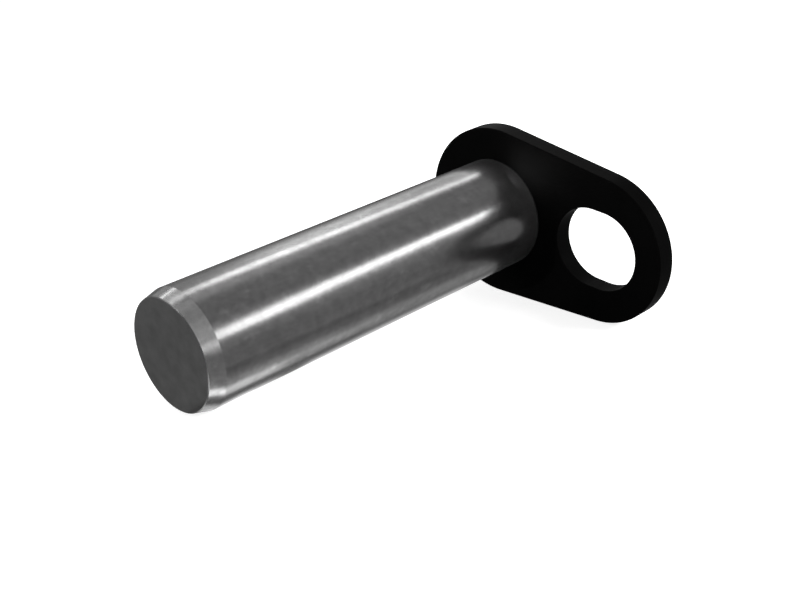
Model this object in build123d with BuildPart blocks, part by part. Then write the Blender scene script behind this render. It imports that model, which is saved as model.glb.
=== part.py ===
# Flag-head link pin: a turned steel pin seated on, and welded into, the round end of a
# flat keeper plate. Millimetres, +Z up. The origin is on the pin's axis, in the plate's
# seating face. The pin points to -Y, the plate lies in XZ and its slotted end points to +X.
import math
import os

from build123d import *

os.makedirs("parts", exist_ok=True)

# Pin: ground 1 3/4 in bar with a lead-in taper at the nose and a turned-down tail
pin_diameter = 44.45
pin_reach = 162.0  # seating face to nose face
nose_taper_length = 6.0
nose_taper_depth = 1.65  # radial
nose_edge_break = 0.3
spigot_diameter = 36.0
spigot_recess = 3.0  # spigot's end to the plate's back face, filled by the weld
spigot_edge_break = 0.5

# Plate: flame-cut flat, two unequal round ends joined by their common tangents
plate_thickness = 8.0
pin_end_radius = 35.0
slot_end_radius = 30.0
hole_centres = 50.0
slot_width = 32.0
slot_length = 37.0  # along the plate
plate_edge_break = 0.3

# Weld: one ring in the recess behind the spigot
weld_leg = 4.0  # along the spigot's end face
weld_lap = 2.5  # onto the plate's back face
weld_crown = 0.8  # above the plate's back face

pin_radius = pin_diameter / 2
spigot_radius = spigot_diameter / 2
nose_radius = pin_radius - nose_taper_depth
spigot_end = plate_thickness - spigot_recess

# Half section in XY, turned about the Y axis
with BuildPart() as pin:
    with BuildSketch(Plane.XY):
        with BuildLine():
            Polyline(
                (0, -pin_reach),
                (nose_radius, -pin_reach),
                (pin_radius, -pin_reach + nose_taper_length),
                (pin_radius, 0),
                (spigot_radius, 0),
                (spigot_radius, spigot_end),
                (0, spigot_end),
                close=True,
            )
        make_face()
    revolve(axis=Axis.Y)
    rims = pin.edges().filter_by(GeomType.CIRCLE).sort_by(Axis.Y)
    chamfer(rims[0], nose_edge_break)
    chamfer(rims[-1], spigot_edge_break)
pin.part.label = "pin"
export_step(pin.part, "parts/pin.step")

# The common tangents lean by the difference of the end radii over the centre distance
tangent_lean = math.asin((pin_end_radius - slot_end_radius) / hole_centres)
lean_x, lean_z = math.sin(tangent_lean), math.cos(tangent_lean)
pin_end_x, pin_end_z = pin_end_radius * lean_x, pin_end_radius * lean_z
slot_end_x, slot_end_z = hole_centres + slot_end_radius * lean_x, slot_end_radius * lean_z
plate_tip = hole_centres + slot_end_radius

# Plane.XZ faces -Y, so a negative amount grows the plate to +Y from its seating face
with BuildPart() as flag_plate:
    with BuildSketch(Plane.XZ):
        with BuildLine():
            Line((pin_end_x, pin_end_z), (slot_end_x, slot_end_z))
            ThreePointArc((slot_end_x, slot_end_z), (plate_tip, 0), (slot_end_x, -slot_end_z))
            Line((slot_end_x, -slot_end_z), (pin_end_x, -pin_end_z))
            ThreePointArc((pin_end_x, -pin_end_z), (-pin_end_radius, 0), (pin_end_x, pin_end_z))
        make_face()
        with Locations((hole_centres, 0)):
            SlotOverall(slot_length, slot_width, mode=Mode.SUBTRACT)
    extrude(amount=-plate_thickness)
    chamfer(flag_plate.edges().filter_by(Axis.Y, reverse=True), plate_edge_break)
    with BuildSketch(Plane.XZ):
        Circle(spigot_radius)
    extrude(amount=-plate_thickness, mode=Mode.SUBTRACT)
flag_plate.part.label = "flag_plate"
export_step(flag_plate.part, "parts/flag_plate.step")

# The bead's section fills the recess's corner, from the spigot's end over the hole's rim
weld_inner_radius = spigot_radius - weld_leg
weld_outer_radius = spigot_radius + weld_lap
with BuildPart() as weld_bead:
    with BuildSketch(Plane.XY):
        with BuildLine():
            Polyline(
                (weld_inner_radius, spigot_end),
                (spigot_radius - spigot_edge_break, spigot_end),
                (spigot_radius, spigot_end - spigot_edge_break),
                (spigot_radius, plate_thickness),
                (weld_outer_radius, plate_thickness),
            )
            ThreePointArc(
                (weld_outer_radius, plate_thickness),
                (spigot_radius, plate_thickness + weld_crown),
                (weld_inner_radius, spigot_end),
            )
        make_face()
    revolve(axis=Axis.Y)
weld_bead.part.label = "weld_bead"
export_step(weld_bead.part, "parts/weld_bead.step")
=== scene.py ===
"""Looks for the flag-head link pin: ground steel shank, black keeper plate, ring weld."""

import math

import bmesh
import bpy
from mathutils import Matrix, Vector


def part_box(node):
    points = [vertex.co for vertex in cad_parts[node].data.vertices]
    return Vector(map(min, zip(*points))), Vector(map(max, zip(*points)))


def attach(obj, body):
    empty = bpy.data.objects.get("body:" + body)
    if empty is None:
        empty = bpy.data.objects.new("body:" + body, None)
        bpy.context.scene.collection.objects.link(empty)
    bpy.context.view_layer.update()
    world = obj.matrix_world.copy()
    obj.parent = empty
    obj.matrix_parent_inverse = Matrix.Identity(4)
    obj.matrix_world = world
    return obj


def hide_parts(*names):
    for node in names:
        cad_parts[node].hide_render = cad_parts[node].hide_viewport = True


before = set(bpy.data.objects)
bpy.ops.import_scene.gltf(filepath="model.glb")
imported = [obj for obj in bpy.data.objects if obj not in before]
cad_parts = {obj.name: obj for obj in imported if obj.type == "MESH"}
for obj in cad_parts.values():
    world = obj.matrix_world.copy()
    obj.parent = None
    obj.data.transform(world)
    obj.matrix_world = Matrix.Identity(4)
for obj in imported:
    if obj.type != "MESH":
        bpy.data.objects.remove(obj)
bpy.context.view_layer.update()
MM = 0.001

# The shank lies along -Y from the plate's seating face, which is y = 0
shank_low, shank_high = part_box("pin")
_, plate_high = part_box("flag_plate")
_, weld_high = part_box("weld_bead")
SHANK_RADIUS = shank_high.z
NOSE_Y = shank_low.y
SPIGOT_END = shank_high.y
TAPER_START = NOSE_Y + 6 * MM
PIN_END_RADIUS = plate_high.z
PLATE_BACK = plate_high.y
PLATE_LEAN = math.asin(5 / 50)  # the end radii's difference over their centre distance
SPIGOT_RADIUS = 18 * MM
WELD_LEG = 4 * MM
SPIGOT_EDGE_BREAK = 0.5 * MM

# The weld's ripples, and what keeps the edges crisp
WELD_TURNS = 300  # sections round the weld's ring
WELD_ACROSS = 15  # points across the weld's face
WELD_RIPPLES = 44
WELD_RIPPLE_DEPTH = 0.28 * MM
WELD_CRESCENT = 0.75  # how far a ripple's middle runs ahead of its ends, in ripples
WELD_UNEVENNESS = 0.3
SEAM_GAP = 0.001 * MM
CRISP_ANGLE = 10  # degrees from which an edge stays sharp

# Finishes: the bases, marks, rubs and blotches are shares of their finish's own grey
STEEL_GREY = 0.092
STEEL_BASE = 0.74
STEEL_MARKS = 0.24
STEEL_RUBS = 0.3
STEEL_ROUGHNESS = 0.22
STEEL_MARK_ROUGHNESS = 0.008
STEEL_RUB_ROUGHNESS = 0.02
STEEL_METALLIC = 0.8
# Painted reflection: the last strip of steel before the plate is painted paler, for the plate's
# sheen mirrored in it
STEEL_PAINTED_SHEEN = 1.2  # how much paler the last strip before the plate is
STEEL_EDGE_TINT = 0.52
STREAK_WEIGHT = 0.6  # beside the clouds, which count fully
GRAIN_WEIGHT = 0.5
GRAIN_RELIEF = 0.15  # beside the grinding lines, which count fully
RUB_EDGE = 7.0  # how sharply a rub mark begins
NOSE_BASE = 0.64
NOSE_BLOTCHES = 0.28
NOSE_ROUGHNESS = 0.3
PAINT_GREY = 0.0035
PAINT_BASE = 0.8
PAINT_CLOUDS = 0.4
PAINT_ROUGHNESS = 0.42
PAINT_CLOUD_ROUGHNESS = 0.06
PAINT_SPECULAR = 0.002
WELD_GREY = 0.014
WELD_BASE = 0.5
WELD_ROUGHNESS = 0.35
WELD_GRAIN_ROUGHNESS = 0.2
WELD_SPECULAR = 0.2

# Studio
FLOOR_HALF = 3.0
FLOOR_GREY = 0.7
FLOOR_LIFT = 0.82  # what is added to it for the camera alone
FLOOR_BOUNCE = 0.5  # its grey for the light that it throws back on the pin
WORLD_FILL = 0.3
LAMP_DISTANCE = 0.6  # from the pin's axis
FLAG_LEVEL = 0.45
FLAG_FAR_LEVEL = 0.08
SHEEN_PLACE = (18 * MM, 0, 26 * MM)  # where the plate's sheen is brightest
SHEEN_REACH = (6 * MM, 44 * MM)  # from there it starts to fade, and has faded
SHEEN_LEVEL = 0.14
SHEEN_FAR_LEVEL = 0.02
SHEEN_STEPS = 72
CLOTH_CORNERS = ((-35, -210), (270, -210), (270, -2), (-35, -2))  # x and y in mm
CLOTH_CLEARANCE = 0.5 * MM

# Camera: degrees round from the pin's nose towards +X, and degrees above the pin's axis
CAMERA_LENS = 56.71
CAMERA_AZIMUTH = 45.1
CAMERA_ELEVATION = 28.43
CAMERA_DISTANCE = 0.4524
CAMERA_AIM = (0.0229, -0.0783, -0.0023)

# Brighter places on the cloth beside the shank: x from, to and softness, y from, to and
# softness, in mm, then the extra brightness, which is below 0 for a darker place
BOUNCE_PATCHES = (
    (21.5, 28.0, 2.0, -178, -126, 22, 6.0),
    (25.0, 37.0, 6.0, -185, -85, 30, 1.2),
    (20.8, 30.0, 4.0, -132, -78, 30, 2.0),
    (19.0, 34.0, 6.0, -80, -5, 14, 1.35),
    (6.0, 15.2, 2.0, -167, -136, 8, 1.2),
    (2.0, 15.5, 3.0, -150, -20, 16, 1.05),
    (7.5, 13.0, 3.0, -150, -14, 16, 0.7),
    (6.0, 14.5, 3.0, -126, -111, 12, -1.6),
    (27.0, 56.0, 12.0, -196, -166, 12, 3.0),
    (47.0, 63.0, 6.0, -200, -10, 20, -0.3),
    (66.0, 84.0, 8.0, -200, -10, 20, 0.22),
    (40.0, 64.0, 8.0, -163, -147, 6, 0.5),
    (5.0, 10.2, 2.0, -175, -153, 3, -1.1),
    (11.0, 16.3, 3.0, -175, -153, 3, 1.7),
    (14.0, 17.0, 2.0, -175, -153, 3, 1.7),
    (21.5, 24.2, 2.0, -175, -153, 3, -5.3),
    (24.4, 30.6, 2.0, -175, -153, 3, 3.2),
    (28.0, 30.6, 2.0, -175, -153, 3, 6.0),
    (60.0, 300.0, 30.0, -185, -153, 3, 0.35),
)

# Lights and cards that face the shank: name, angle from +X round the shank and spread in
# degrees, y from and to, radiance, slant in degrees, and whether it lights the object or
# only shows in the metal
PANELS = (
    ("rear_right_strip", 34.2, 12.5, 0.15, 0.30, 20.5, 8, True),
    ("rear_right_strip_end", 38.4, 11.0, 0.30, 0.64, 20.5, 5, True),
    ("rear_left_strip", 131.2, 12, 0.18, 0.40, 17.2, -9, True),
    ("rear_left_strip_end", 130.8, 11, 0.40, 0.68, 13.0, 0, True),
    ("rear_left_glow", 151, 17, 0.25, 0.42, 3.9, 0, False),
    ("rear_left_panel", 154, 34, 0.26, 0.66, 3.2, 0, True),
    ("rear_left_sill", 176, 10, 0.26, 0.66, 0.5, 0, False),
    ("rear_left_panel_end", 154, 34, 0.12, 0.26, 1.3, 0, False),
    ("rear_right_skirt", 25, 8, 0.10, 0.34, 1.4, 0, False),
    ("rear_right_low_card", 12, 12, 0.12, 0.50, 0.3, 0, False),
    ("rear_top_card", 114, 20, 0.10, 0.42, 1.2, 0, False),
    ("overhead_card", 87, 30, 0.18, 0.60, 0.2, 0, False),
    ("front_right_card", 31, 40, -0.40, -0.10, 2.35, 0, False),
    ("front_right_strip", 24.5, 10, -0.40, -0.10, 4.5, 0, False),
    ("front_shoulder_card", 60, 18, -0.40, -0.05, 1.75, 0, False),
    ("front_top_card", 79.5, 21, -0.40, -0.05, 1.0, 0, False),
    ("front_crown_card", 101, 22, -0.20, 0.0, 1.75, 0, False),
    ("front_left_card", 134, 34, -0.20, 0.03, 2.9, 0, False),
    ("front_left_strip", 125, 8, -0.20, 0.03, 5.6, 0, False),
    ("front_left_strip_end", 149, 5, -0.20, 0.06, 17.0, 0, False),
    ("left_near_card", 163, 25, 0.0, 0.12, 2.1, 0, False),
    ("far_right_strip", 48, 9, -0.95, -0.47, 9.0, 0, False),
    ("far_left_strip", 128, 11, -0.95, -0.47, 9.0, 0, False),
    ("far_left_card", 156, 30, -0.90, -0.47, 2.0, 0, False),
)


# -------------------------------------------------------------- things in the scene


def place_object(name, data):
    thing = bpy.data.objects.new(name, data)
    bpy.context.scene.collection.objects.link(thing)
    return thing


def place_mesh(name, maker, material):
    """The shape in the maker as an object with this finish. The maker is used up."""
    mesh = bpy.data.meshes.new(name)
    maker.to_mesh(mesh)
    maker.free()
    mesh.materials.append(material)
    return place_object(name, mesh)


def join_rings(maker, rings, closed):
    """Faces between neighbouring rings of points, right round; closed rings join their ends."""
    count = len(rings[0])
    for i, this in enumerate(rings):
        following = rings[(i + 1) % len(rings)]
        for j in range(count if closed else count - 1):
            k = (j + 1) % count
            maker.faces.new((this[j], following[j], following[k], this[k]))


# ---------------------------------------------------------------- node helpers


def new_material(name):
    """An empty node material, as (material, nodes, links)."""
    material = bpy.data.materials.new(name)
    material.use_nodes = True
    nodes, links = material.node_tree.nodes, material.node_tree.links
    nodes.clear()
    return material, nodes, links


def add_node(nodes, kind, settings=None, values=None):
    """A node of this kind, with its settings and the values of its unlinked inputs."""
    node = nodes.new(kind)
    for key, value in (settings or {}).items():
        setattr(node, key, value)
    for key, value in (values or {}).items():
        node.inputs[key].default_value = value
    return node


def combine(nodes, links, operation, first, second):
    """A Math node on two values, each a socket or a number."""
    node = add_node(nodes, "ShaderNodeMath", {"operation": operation})
    for socket, value in zip(node.inputs, (first, second)):
        if isinstance(value, bpy.types.NodeSocket):
            links.new(value, socket)
        else:
            socket.default_value = value
    return node.outputs[0]


def blend_values(nodes, links, mask, low, high):
    """low where the mask is 0 and high where it is 1, each a socket or a number."""
    node = add_node(nodes, "ShaderNodeMix", {"data_type": "FLOAT"})
    links.new(mask, node.inputs["Factor"])
    for name, value in (("A", low), ("B", high)):
        if isinstance(value, bpy.types.NodeSocket):
            links.new(value, node.inputs[name])
        else:
            node.inputs[name].default_value = value
    return node.outputs["Result"]


def grey(value):
    return (value, value, value, 1.0)


# --------------------------------------------------------------- shared effects


def stretched_noise_group():
    """Soft noise over the piece, 0 to 1, with its own frequency along each axis."""
    group = bpy.data.node_groups.new("stretched_noise", "ShaderNodeTree")
    group.interface.new_socket("Frequency", in_out="INPUT", socket_type="NodeSocketVector")
    group.interface.new_socket("Detail", in_out="INPUT", socket_type="NodeSocketFloat")
    group.interface.new_socket("Contrast", in_out="INPUT", socket_type="NodeSocketFloat")
    group.interface.new_socket("Value", in_out="OUTPUT", socket_type="NodeSocketFloat")
    nodes, links = group.nodes, group.links
    given = nodes.new("NodeGroupInput")
    result = nodes.new("NodeGroupOutput")
    place = add_node(nodes, "ShaderNodeTexCoord")
    stretched = add_node(nodes, "ShaderNodeVectorMath", {"operation": "MULTIPLY"})
    noise = add_node(nodes, "ShaderNodeTexNoise", values={"Scale": 1.0, "Roughness": 0.6})
    links.new(place.outputs["Object"], stretched.inputs[0])
    links.new(given.outputs["Frequency"], stretched.inputs[1])
    links.new(stretched.outputs[0], noise.inputs["Vector"])
    links.new(given.outputs["Detail"], noise.inputs["Detail"])
    centred = combine(nodes, links, "SUBTRACT", noise.outputs["Fac"], 0.5)
    spread = combine(nodes, links, "MULTIPLY", centred, given.outputs["Contrast"])
    lifted = add_node(nodes, "ShaderNodeMath", {"operation": "ADD", "use_clamp": True}, {1: 0.5})
    links.new(spread, lifted.inputs[0])
    links.new(lifted.outputs[0], result.inputs["Value"])
    return group


STRETCHED_NOISE = stretched_noise_group()


def place_noise(nodes, frequency, detail, contrast):
    node = add_node(nodes, "ShaderNodeGroup", {"node_tree": STRETCHED_NOISE})
    node.inputs["Frequency"].default_value = frequency
    node.inputs["Detail"].default_value = detail
    node.inputs["Contrast"].default_value = contrast
    return node.outputs["Value"]


def scuffs_group():
    """Sparse soft rub marks, 0 on clean metal and 1 in the middle of a mark."""
    group = bpy.data.node_groups.new("scuffs", "ShaderNodeTree")
    group.interface.new_socket("Frequency", in_out="INPUT", socket_type="NodeSocketVector")
    group.interface.new_socket("Rarity", in_out="INPUT", socket_type="NodeSocketFloat")
    group.interface.new_socket("Mask", in_out="OUTPUT", socket_type="NodeSocketFloat")
    nodes, links = group.nodes, group.links
    given = nodes.new("NodeGroupInput")
    result = nodes.new("NodeGroupOutput")
    field = add_node(nodes, "ShaderNodeGroup", {"node_tree": STRETCHED_NOISE})
    field.inputs["Detail"].default_value = 3.0
    field.inputs["Contrast"].default_value = 1.0
    links.new(given.outputs["Frequency"], field.inputs["Frequency"])
    over = combine(nodes, links, "SUBTRACT", field.outputs["Value"], given.outputs["Rarity"])
    mark = add_node(nodes, "ShaderNodeMath", {"operation": "MULTIPLY", "use_clamp": True})
    mark.inputs[1].default_value = RUB_EDGE
    links.new(over, mark.inputs[0])
    links.new(mark.outputs[0], result.inputs["Mask"])
    return group


SCUFFS = scuffs_group()


def place_scuffs(nodes, frequency, rarity):
    node = add_node(nodes, "ShaderNodeGroup", {"node_tree": SCUFFS})
    node.inputs["Frequency"].default_value = frequency
    node.inputs["Rarity"].default_value = rarity
    return node.outputs["Mask"]


def scaled(nodes, links, value, factor, offset):
    """value * factor + offset."""
    product = combine(nodes, links, "MULTIPLY", value, factor)
    return combine(nodes, links, "ADD", product, offset)


def step_along_y(nodes, links, edge, soft):
    """0 before this y and 1 past it, over a short soft edge."""
    place = add_node(nodes, "ShaderNodeTexCoord")
    split = add_node(nodes, "ShaderNodeSeparateXYZ")
    links.new(place.outputs["Object"], split.inputs[0])
    node = add_node(
        nodes,
        "ShaderNodeMapRange",
        values={"From Min": edge - soft / 2, "From Max": edge + soft / 2},
    )
    links.new(split.outputs["Y"], node.inputs["Value"])
    return node.outputs["Result"]


def as_colour(nodes, links, value):
    node = add_node(nodes, "ShaderNodeCombineColor")
    for name in ("Red", "Green", "Blue"):
        links.new(value, node.inputs[name])
    return node.outputs["Color"]


def add_bump(nodes, links, shader, height, distance, strength):
    """Relief on the shader from a height of 0 to 1, which stands for this distance."""
    node = add_node(nodes, "ShaderNodeBump", values={"Strength": strength, "Distance": distance})
    links.new(height, node.inputs["Height"])
    links.new(node.outputs["Normal"], shader.inputs["Normal"])


# ------------------------------------------------------------------ materials


def grinding_marks(nodes, links, grain):
    """Cloudy patches, streaks along the bar and fine grain, added up."""
    clouds = place_noise(nodes, frequency=(300, 260, 300), detail=4.0, contrast=2.6)
    streaks = place_noise(nodes, frequency=(520, 14, 520), detail=3.0, contrast=1.5)
    streaks = combine(nodes, links, "MULTIPLY", streaks, STREAK_WEIGHT)
    grain = combine(nodes, links, "MULTIPLY", grain, GRAIN_WEIGHT)
    marks = combine(nodes, links, "ADD", clouds, streaks)
    return combine(nodes, links, "ADD", marks, grain)


def steel_tone(nodes, links, marks, rubs, faced, painted):
    """The grey of the ground wall with a paler strip painted beside the plate as a painted
    reflection of the plate's sheen, the faced nose and the painted tail.
    """
    wall = scaled(nodes, links, marks, STEEL_GREY * STEEL_MARKS, STEEL_GREY * STEEL_BASE)
    rubbed = combine(nodes, links, "MULTIPLY", rubs, STEEL_GREY * STEEL_RUBS)
    wall = combine(nodes, links, "ADD", wall, rubbed)
    # Painted reflection: the wall's grey is raised beside the plate, standing in for the plate's
    # sheen mirrored there
    sheen_painted_wall = combine(nodes, links, "MULTIPLY", wall, STEEL_PAINTED_SHEEN)
    painted_sheen_strip = step_along_y(nodes, links, edge=-10 * MM, soft=20 * MM)
    wall = blend_values(nodes, links, painted_sheen_strip, wall, sheen_painted_wall)
    blotches = place_noise(nodes, frequency=(180, 180, 180), detail=5.0, contrast=2.0)
    nose = scaled(nodes, links, blotches, STEEL_GREY * NOSE_BLOTCHES, STEEL_GREY * NOSE_BASE)
    bare = blend_values(nodes, links, faced, wall, nose)
    return blend_values(nodes, links, painted, bare, PAINT_GREY)


def steel_roughness(nodes, links, marks, rubs, faced, painted):
    """The roughness of the same three places."""
    least = STEEL_ROUGHNESS - STEEL_MARK_ROUGHNESS
    wall = scaled(nodes, links, marks, STEEL_MARK_ROUGHNESS, least)
    rubbed = combine(nodes, links, "MULTIPLY", rubs, STEEL_RUB_ROUGHNESS)
    wall = combine(nodes, links, "ADD", wall, rubbed)
    bare = blend_values(nodes, links, faced, wall, NOSE_ROUGHNESS)
    return blend_values(nodes, links, painted, bare, PAINT_ROUGHNESS)


def ground_steel():
    """Bright bar ground round its length, with a duller faced nose and a painted tail."""
    material, nodes, links = new_material("ground_steel")
    output = add_node(nodes, "ShaderNodeOutputMaterial")
    shader = add_node(
        nodes,
        "ShaderNodeBsdfPrincipled",
        values={
            "Specular Tint": grey(STEEL_EDGE_TINT),
            "Specular IOR Level": PAINT_SPECULAR,
        },
    )
    links.new(shader.outputs["BSDF"], output.inputs["Surface"])
    past_nose = step_along_y(nodes, links, edge=NOSE_Y + 0.15 * MM, soft=0.1 * MM)
    faced = combine(nodes, links, "SUBTRACT", 1.0, past_nose)
    painted = step_along_y(nodes, links, edge=0.0, soft=0.1 * MM)
    grain = place_noise(nodes, frequency=(600, 450, 600), detail=3.0, contrast=2.0)
    lines = place_noise(nodes, frequency=(20, 1500, 20), detail=2.0, contrast=1.4)
    rubs = place_scuffs(nodes, frequency=(190, 130, 190), rarity=0.6)
    marks = grinding_marks(nodes, links, grain)

    tone = steel_tone(nodes, links, marks, rubs, faced, painted)
    links.new(as_colour(nodes, links, tone), shader.inputs["Base Color"])
    metallic = blend_values(nodes, links, painted, STEEL_METALLIC, 0.0)
    links.new(metallic, shader.inputs["Metallic"])
    rough = steel_roughness(nodes, links, marks, rubs, faced, painted)
    links.new(rough, shader.inputs["Roughness"])
    faint_grain = combine(nodes, links, "MULTIPLY", grain, GRAIN_RELIEF)
    relief = combine(nodes, links, "ADD", faint_grain, lines)
    add_bump(nodes, links, shader, relief, distance=0.02 * MM, strength=0.15)
    return material


def black_paint():
    """Thin satin black paint with a little orange peel."""
    material, nodes, links = new_material("black_paint")
    output = add_node(nodes, "ShaderNodeOutputMaterial")
    shader = add_node(
        nodes, "ShaderNodeBsdfPrincipled", values={"Specular IOR Level": PAINT_SPECULAR}
    )
    links.new(shader.outputs["BSDF"], output.inputs["Surface"])
    clouds = place_noise(nodes, frequency=(90, 90, 90), detail=3.0, contrast=1.5)
    peel = place_noise(nodes, frequency=(700, 700, 700), detail=2.0, contrast=1.0)
    tone = scaled(nodes, links, clouds, PAINT_GREY * PAINT_CLOUDS, PAINT_GREY * PAINT_BASE)
    links.new(as_colour(nodes, links, tone), shader.inputs["Base Color"])
    least = PAINT_ROUGHNESS - PAINT_CLOUD_ROUGHNESS / 2
    rough = scaled(nodes, links, clouds, PAINT_CLOUD_ROUGHNESS, least)
    links.new(rough, shader.inputs["Roughness"])
    add_bump(nodes, links, shader, peel, distance=0.05 * MM, strength=0.3)
    return material


def painted_weld():
    """The same black paint, thin over the weld's scale: greyer and rougher than the plate."""
    material, nodes, links = new_material("painted_weld")
    output = add_node(nodes, "ShaderNodeOutputMaterial")
    shader = add_node(
        nodes, "ShaderNodeBsdfPrincipled", values={"Specular IOR Level": WELD_SPECULAR}
    )
    links.new(shader.outputs["BSDF"], output.inputs["Surface"])
    grain = place_noise(nodes, frequency=(900, 900, 900), detail=4.0, contrast=2.0)
    clouds = place_noise(nodes, frequency=(160, 160, 160), detail=3.0, contrast=2.0)
    tone = scaled(nodes, links, clouds, WELD_GREY, WELD_GREY * WELD_BASE)
    links.new(as_colour(nodes, links, tone), shader.inputs["Base Color"])
    rough = scaled(nodes, links, grain, WELD_GRAIN_ROUGHNESS, WELD_ROUGHNESS)
    links.new(rough, shader.inputs["Roughness"])
    add_bump(nodes, links, shader, grain, distance=0.1 * MM, strength=0.4)
    return material


def dress(node_name, material):
    """Gives the node its finish, even round faces with no seam, and crisp edges."""
    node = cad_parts[node_name]
    node.data.materials.clear()
    node.data.materials.append(material)
    seam = node.modifiers.new("join_seam", "WELD")
    seam.merge_threshold = SEAM_GAP
    crisp = node.modifiers.new("crisp_edges", "EDGE_SPLIT")
    crisp.use_edge_angle = True
    crisp.use_edge_sharp = False
    crisp.split_angle = math.radians(CRISP_ANGLE)
    shading = node.modifiers.new("even_shading", "WEIGHTED_NORMAL")
    shading.keep_sharp = True


# ------------------------------------------------------------------ weld bead


def arc_through(first, middle, last, count):
    """Points along the arc from first to last through middle, in the plane."""
    (ax, ay), (bx, by), (cx, cy) = first, middle, last
    twice = 2 * (ax * (by - cy) + bx * (cy - ay) + cx * (ay - by))
    a2, b2, c2 = ax * ax + ay * ay, bx * bx + by * by, cx * cx + cy * cy
    ox = (a2 * (by - cy) + b2 * (cy - ay) + c2 * (ay - by)) / twice
    oy = (a2 * (cx - bx) + b2 * (ax - cx) + c2 * (bx - ax)) / twice
    radius = math.hypot(ax - ox, ay - oy)
    start = math.atan2(ay - oy, ax - ox)
    end = math.atan2(cy - oy, cx - ox)
    if end > start:
        end -= 2 * math.pi
    angles = [start + (end - start) * i / (count - 1) for i in range(count)]
    return [(ox + radius * math.cos(a), oy + radius * math.sin(a)) for a in angles]


def ripple_sink(share, angle):
    """How far the crescents sink the weld's face here; share is 0 and 1 at its two feet."""
    bow = 1 - (2 * share - 1) ** 2
    phase = WELD_RIPPLES * angle / (2 * math.pi) + WELD_CRESCENT * bow
    dip = (1 - (phase % 1.0)) ** 2 + WELD_UNEVENNESS * math.sin(3 * angle + 1.0)
    return WELD_RIPPLE_DEPTH * bow**0.5 * max(dip, 0.0)


def rippled_bead():
    """The ring weld with the crescent ripples that a run leaves, inside the plain ring's box."""
    foot_in = (SPIGOT_RADIUS - WELD_LEG, SPIGOT_END)
    crown = (SPIGOT_RADIUS, weld_high.y)
    foot_out = (weld_high.x, PLATE_BACK)
    face = arc_through(foot_in, crown, foot_out, WELD_ACROSS)
    hidden = [
        (SPIGOT_RADIUS, PLATE_BACK),
        (SPIGOT_RADIUS, SPIGOT_END - SPIGOT_EDGE_BREAK),
        (SPIGOT_RADIUS - SPIGOT_EDGE_BREAK, SPIGOT_END),
    ]
    maker = bmesh.new()
    rings = []
    for i in range(WELD_TURNS):
        angle = 2 * math.pi * i / WELD_TURNS
        section = [
            (radius, y - ripple_sink(j / (WELD_ACROSS - 1), angle))
            for j, (radius, y) in enumerate(face)
        ]
        corners = [(r * math.cos(angle), y, r * math.sin(angle)) for r, y in section + hidden]
        rings.append([maker.verts.new(corner) for corner in corners])
    join_rings(maker, rings, closed=True)
    bmesh.ops.recalc_face_normals(maker, faces=maker.faces)
    piece = place_mesh("rippled_weld", maker, painted_weld())
    for polygon in piece.data.polygons:
        polygon.use_smooth = True
    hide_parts("weld_bead")
    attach(piece, "root")


dress("pin", ground_steel())
dress("flag_plate", black_paint())
rippled_bead()


# ---------------------------------------------------------------------- stage


def resting_plane():
    """A point and the upward normal of the floor that the pin comes to rest on.

    It touches the lower straight side of the plate and the shank's rim at the nose.
    """
    down_in_section = Vector((math.sin(PLATE_LEAN), 0, -math.cos(PLATE_LEAN)))
    plate_touch = down_in_section * PIN_END_RADIUS
    rim_touch = down_in_section * SHANK_RADIUS + Vector((0, TAPER_START, 0))
    along = (plate_touch - rim_touch).normalized()
    across = Vector((math.cos(PLATE_LEAN), 0, math.sin(PLATE_LEAN)))
    return plate_touch, across.cross(along).normalized()


def seen_rays(nodes, links, names):
    """1 for a ray of any of these kinds, else 0."""
    path = add_node(nodes, "ShaderNodeLightPath")
    total = path.outputs[names[0]]
    for name in names[1:]:
        total = combine(nodes, links, "MAXIMUM", total, path.outputs[name])
    return total


def mix_shaders(nodes, links, mask, first, second):
    """The first shader where the mask is 0 and the second where it is 1."""
    node = add_node(nodes, "ShaderNodeMixShader")
    links.new(mask, node.inputs["Fac"])
    links.new(first, node.inputs[1])
    links.new(second, node.inputs[2])
    return node.outputs[0]


def pale_floor():
    """Matte floor that reads white, shows white in the metal, and keeps the shadow.

    It is clear from below, so that the underside can be looked at.
    """
    material, nodes, links = new_material("pale_floor")
    output = add_node(nodes, "ShaderNodeOutputMaterial")
    matte = add_node(nodes, "ShaderNodeBsdfDiffuse")
    lift = add_node(nodes, "ShaderNodeEmission", values={"Color": grey(1.0)})
    lifted = add_node(nodes, "ShaderNodeAddShader")
    bounce = seen_rays(nodes, links, ["Is Diffuse Ray"])
    tone = blend_values(nodes, links, bounce, FLOOR_GREY, FLOOR_BOUNCE)
    links.new(as_colour(nodes, links, tone), matte.inputs["Color"])
    to_eye = seen_rays(nodes, links, ["Is Camera Ray"])
    links.new(combine(nodes, links, "MULTIPLY", to_eye, FLOOR_LIFT), lift.inputs["Strength"])
    links.new(matte.outputs[0], lifted.inputs[0])
    links.new(lift.outputs[0], lifted.inputs[1])

    mirrored = add_node(nodes, "ShaderNodeEmission", values={"Color": grey(1.0), "Strength": 1.0})
    in_metal = seen_rays(nodes, links, ["Is Glossy Ray", "Is Transmission Ray"])
    above = mix_shaders(nodes, links, in_metal, lifted.outputs[0], mirrored.outputs[0])
    side = add_node(nodes, "ShaderNodeNewGeometry")
    clear = add_node(nodes, "ShaderNodeBsdfTransparent")
    below = side.outputs["Backfacing"]
    links.new(mix_shaders(nodes, links, below, above, clear.outputs[0]), output.inputs["Surface"])
    return material


def studio_floor():
    """A wide floor that the pin lies on."""
    point, normal = resting_plane()
    turn = normal.to_track_quat("Z", "Y").to_matrix().to_4x4()
    maker = bmesh.new()
    bmesh.ops.create_grid(maker, x_segments=1, y_segments=1, size=FLOOR_HALF)
    bmesh.ops.transform(maker, matrix=Matrix.Translation(point) @ turn, verts=maker.verts)
    floor = place_mesh("studio_floor", maker, pale_floor())


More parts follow.
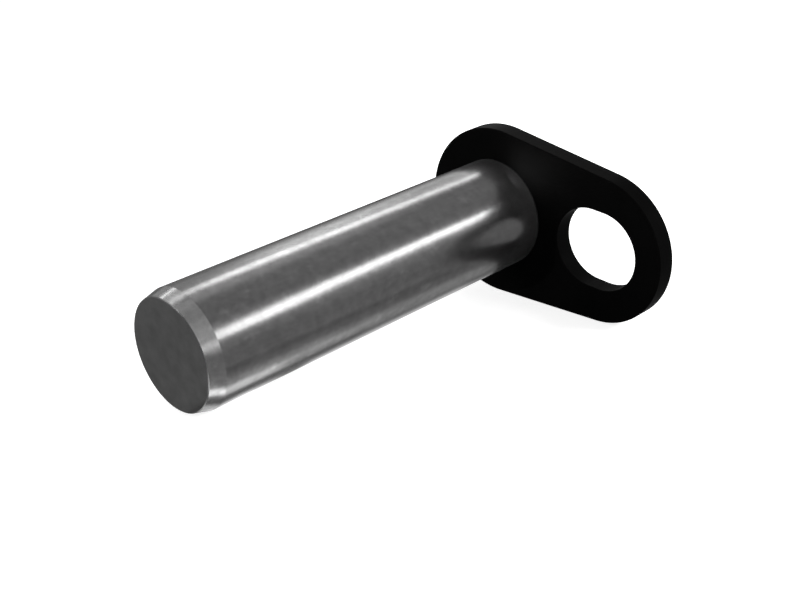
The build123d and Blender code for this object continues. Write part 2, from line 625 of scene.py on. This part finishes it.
def white_studio():
    """World that reads white to the camera and in the metal, and fills softly."""
    world = bpy.data.worlds.new("white_studio")
    world.use_nodes = True
    nodes, links = world.node_tree.nodes, world.node_tree.links
    nodes.clear()
    output = add_node(nodes, "ShaderNodeOutputWorld")
    backdrop = add_node(nodes, "ShaderNodeBackground", values={"Color": grey(1.0)})
    seen = seen_rays(nodes, links, ["Is Camera Ray", "Is Glossy Ray", "Is Transmission Ray"])
    links.new(blend_values(nodes, links, seen, WORLD_FILL, 1.0), backdrop.inputs["Strength"])
    links.new(backdrop.outputs[0], output.inputs["Surface"])
    bpy.context.scene.world = world


def area_lamp(name, energy, size, size_y=None):
    """A soft light that the camera doesn't see, square or with two sizes."""
    data = bpy.data.lights.new(name, "AREA")
    data.size = size
    if size_y is not None:
        data.shape = "RECTANGLE"
        data.size_y = size_y
    data.energy = energy
    lamp = place_object(name, data)
    lamp.visible_camera = False
    return lamp


def outward_at(angle):
    """The way out of the shank at an angle in degrees from +X, up towards +Z."""
    turn = math.radians(angle)
    return Vector((math.cos(turn), 0, math.sin(turn)))


def panel_lamp(name, angle, spread, y_from, y_to, radiance, slant, lights):
    """A flat light beside the shank, facing it.

    One that doesn't light is a reflector card: only the metal sees it. The slant turns its
    far end up round the shank.
    """
    outward = outward_at(angle)
    shank_way = Vector((0, 1, 0))
    width = 2 * LAMP_DISTANCE * math.tan(math.radians(spread) / 2)
    length = y_to - y_from
    lamp = area_lamp(name, radiance * math.pi * width * length, width, length)
    axes = Matrix((shank_way.cross(outward), shank_way, outward)).transposed()
    middle = outward * LAMP_DISTANCE + shank_way * (y_from + y_to) / 2
    lean = Matrix.Rotation(math.radians(slant), 4, "Z")
    lamp.matrix_world = Matrix.Translation(middle) @ axes.to_4x4() @ lean
    lamp.visible_diffuse = lights


def shank_glow():
    """The light that the bright shank throws on the plate beside it."""
    outward = outward_at(53)
    before_plate = Vector((0, -10 * MM, 0))
    facing = (Vector((0, 0.9, 0)) + outward).normalized()
    lamp = area_lamp("shank_glow", energy=0.0036, size=16 * MM, size_y=8 * MM)
    lamp.location = outward * 26 * MM + before_plate
    lamp.rotation_euler = (-facing).to_track_quat("Z", "Y").to_euler()
    lamp.visible_glossy = False


def front_fill():
    """A low soft light in front, on the left, that the metal doesn't mirror."""
    lamp = area_lamp("front_fill", energy=1.7, size=0.3)
    lamp.location = (-0.35, -0.55, 0.08)
    lamp.rotation_euler = lamp.location.to_track_quat("Z", "Y").to_euler()
    lamp.visible_glossy = False


def only_in_reflections(card):
    card.visible_camera = False
    card.visible_diffuse = False
    card.visible_transmission = False
    card.visible_shadow = False


def glowing_cloth(name):
    """A cloth that shows its own level, as (material, nodes, links, place on it, level)."""
    material, nodes, links = new_material(name)
    output = add_node(nodes, "ShaderNodeOutputMaterial")
    glow = add_node(nodes, "ShaderNodeEmission", values={"Color": grey(1.0)})
    place = add_node(nodes, "ShaderNodeTexCoord")
    links.new(glow.outputs[0], output.inputs["Surface"])
    return material, nodes, links, place.outputs["Object"], glow.inputs["Strength"]


def soft_step(nodes, links, place, low, high):
    """0 at low and 1 at high, easing between them; low may be the larger of the two."""
    node = add_node(
        nodes,
        "ShaderNodeMapRange",
        {"interpolation_type": "SMOOTHSTEP"},
        {"From Min": low, "From Max": high},
    )
    links.new(place, node.inputs["Value"])
    return node.outputs["Result"]


def soft_band(nodes, links, place, low, high, soft):
    """1 between low and high, easing to 0 over a soft width at both ends."""
    rise = soft_step(nodes, links, place, low - soft / 2, low + soft / 2)
    fall = soft_step(nodes, links, place, high + soft / 2, high - soft / 2)
    return combine(nodes, links, "MULTIPLY", rise, fall)


def bounce_cloth():
    """White cloth with brighter and darker patches, which the shank mirrors."""
    material, nodes, links, place, glow_level = glowing_cloth("bounce_cloth")
    split = add_node(nodes, "ShaderNodeSeparateXYZ")
    links.new(place, split.inputs[0])
    x, y = split.outputs["X"], split.outputs["Y"]
    level = 1.0
    for x_from, x_to, x_soft, y_from, y_to, y_soft, extra in BOUNCE_PATCHES:
        across = soft_band(nodes, links, x, x_from * MM, x_to * MM, x_soft * MM)
        along = soft_band(nodes, links, y, y_from * MM, y_to * MM, y_soft * MM)
        patch = combine(nodes, links, "MULTIPLY", across, along)
        patch = combine(nodes, links, "MULTIPLY", patch, extra)
        level = combine(nodes, links, "ADD", patch, level)
    links.new(level, glow_level)
    return material


def bounce_card():
    """The cloth lies just over the floor and only the metal sees it."""
    point, normal = resting_plane()
    maker = bmesh.new()
    corners = []
    for x, y in CLOTH_CORNERS:
        x, y = x * MM, y * MM
        drop = (normal.x * (x - point.x) + normal.y * (y - point.y)) / normal.z
        corner = Vector((x, y, point.z - drop)) + normal * CLOTH_CLEARANCE
        corners.append(maker.verts.new(corner))
    maker.faces.new(corners)
    card = place_mesh("bounce_card", maker, bounce_cloth())
    only_in_reflections(card)


def flag_cloth(name, length, fade_from, fade_to):
    """Grey cloth that darkens between two places along its length, from its middle."""
    material, nodes, links, place, glow_level = glowing_cloth(name)
    split = add_node(nodes, "ShaderNodeSeparateXYZ")
    fade = add_node(
        nodes, "ShaderNodeMapRange", values={"From Min": fade_from, "From Max": fade_to}
    )
    links.new(place, split.inputs[0])
    links.new(combine(nodes, links, "MULTIPLY", split.outputs["Y"], length), fade.inputs["Value"])
    level = blend_values(nodes, links, fade.outputs["Result"], FLAG_LEVEL, FLAG_FAR_LEVEL)
    links.new(level, glow_level)
    return material


def grey_flag(name, middle, height, length, turn, fade_from, fade_to):
    """A grey card that keeps the shank's upper outline from going white."""
    maker = bmesh.new()
    bmesh.ops.create_grid(maker, x_segments=1, y_segments=1, size=0.5)
    flag = place_mesh(name, maker, flag_cloth(name, length, fade_from, fade_to))
    flag.matrix_world = (
        Matrix.Translation(middle)
        @ Matrix.Rotation(math.radians(turn), 4, "Y")
        @ Matrix.Diagonal((height, length, 1.0, 1.0))
    )
    only_in_reflections(flag)


def sheen_cloth():
    """A faint glow that fades with the distance from its brightest place."""
    material, nodes, links, place, glow_level = glowing_cloth("plate_sheen")
    away = add_node(nodes, "ShaderNodeVectorMath", {"operation": "DISTANCE"})
    links.new(place, away.inputs[0])
    away.inputs[1].default_value = SHEEN_PLACE
    fade = add_node(
        nodes,
        "ShaderNodeMapRange",
        {"interpolation_type": "SMOOTHSTEP"},
        {
            "From Min": SHEEN_REACH[0],
            "From Max": SHEEN_REACH[1],
            "To Min": SHEEN_LEVEL,
            "To Max": SHEEN_FAR_LEVEL,
        },
    )
    links.new(away.outputs["Value"], fade.inputs["Value"])
    links.new(fade.outputs["Result"], glow_level)
    return material


def plate_sheen_card():
    """The faint sheen that the shank sees on the plate round it, brightest up and to the right.

    It is a thin ring before the plate's face, cut off short of the slot.
    """
    inner = SHANK_RADIUS + 0.1 * MM
    outer = PIN_END_RADIUS - 1 * MM
    short_of_slot = 31 * MM
    before_face = -0.3 * MM
    maker = bmesh.new()
    rings = []
    for i in range(SHEEN_STEPS):
        turn = 2 * math.pi * i / SHEEN_STEPS
        reach = outer
        if math.cos(turn) > 0:
            reach = min(outer, short_of_slot / math.cos(turn))
        corners = [(r * math.cos(turn), before_face, r * math.sin(turn)) for r in (inner, reach)]
        rings.append([maker.verts.new(corner) for corner in corners])
    join_rings(maker, rings, closed=False)
    card = place_mesh("plate_sheen_card", maker, sheen_cloth())
    only_in_reflections(card)


def studio_lamps():
    for panel in PANELS:
        panel_lamp(*panel)
    shank_glow()
    front_fill()


def studio_cards():
    bounce_card()
    plate_sheen_card()
    grey_flag(
        "side_flag",
        middle=(-0.30, 0.12, -0.03),
        height=0.07,
        length=0.6,
        turn=90,
        fade_from=-0.09,
        fade_to=0.06,
    )
    grey_flag(
        "low_flag",
        middle=(-0.17, 0.09, -0.049),
        height=0.26,
        length=0.42,
        turn=-math.degrees(PLATE_LEAN),
        fade_from=-0.12,
        fade_to=0.02,
    )


studio_floor()
white_studio()
studio_lamps()
studio_cards()


# --------------------------------------------------------------------- camera


def pin_camera():
    data = bpy.data.cameras.new("pin_camera")
    data.lens = CAMERA_LENS
    data.sensor_width = 36.0
    data.clip_start = 0.01
    eye = place_object("pin_camera", data)
    azimuth, elevation = math.radians(CAMERA_AZIMUTH), math.radians(CAMERA_ELEVATION)
    level = math.cos(elevation)
    back = Vector(
        (math.sin(azimuth) * level, -math.cos(azimuth) * level, math.sin(elevation))
    )
    eye.location = Vector(CAMERA_AIM) + back * CAMERA_DISTANCE
    eye.rotation_euler = back.to_track_quat("Z", "Y").to_euler()
    bpy.context.scene.camera = eye


pin_camera()
bpy.context.scene.view_settings.view_transform = "Standard"
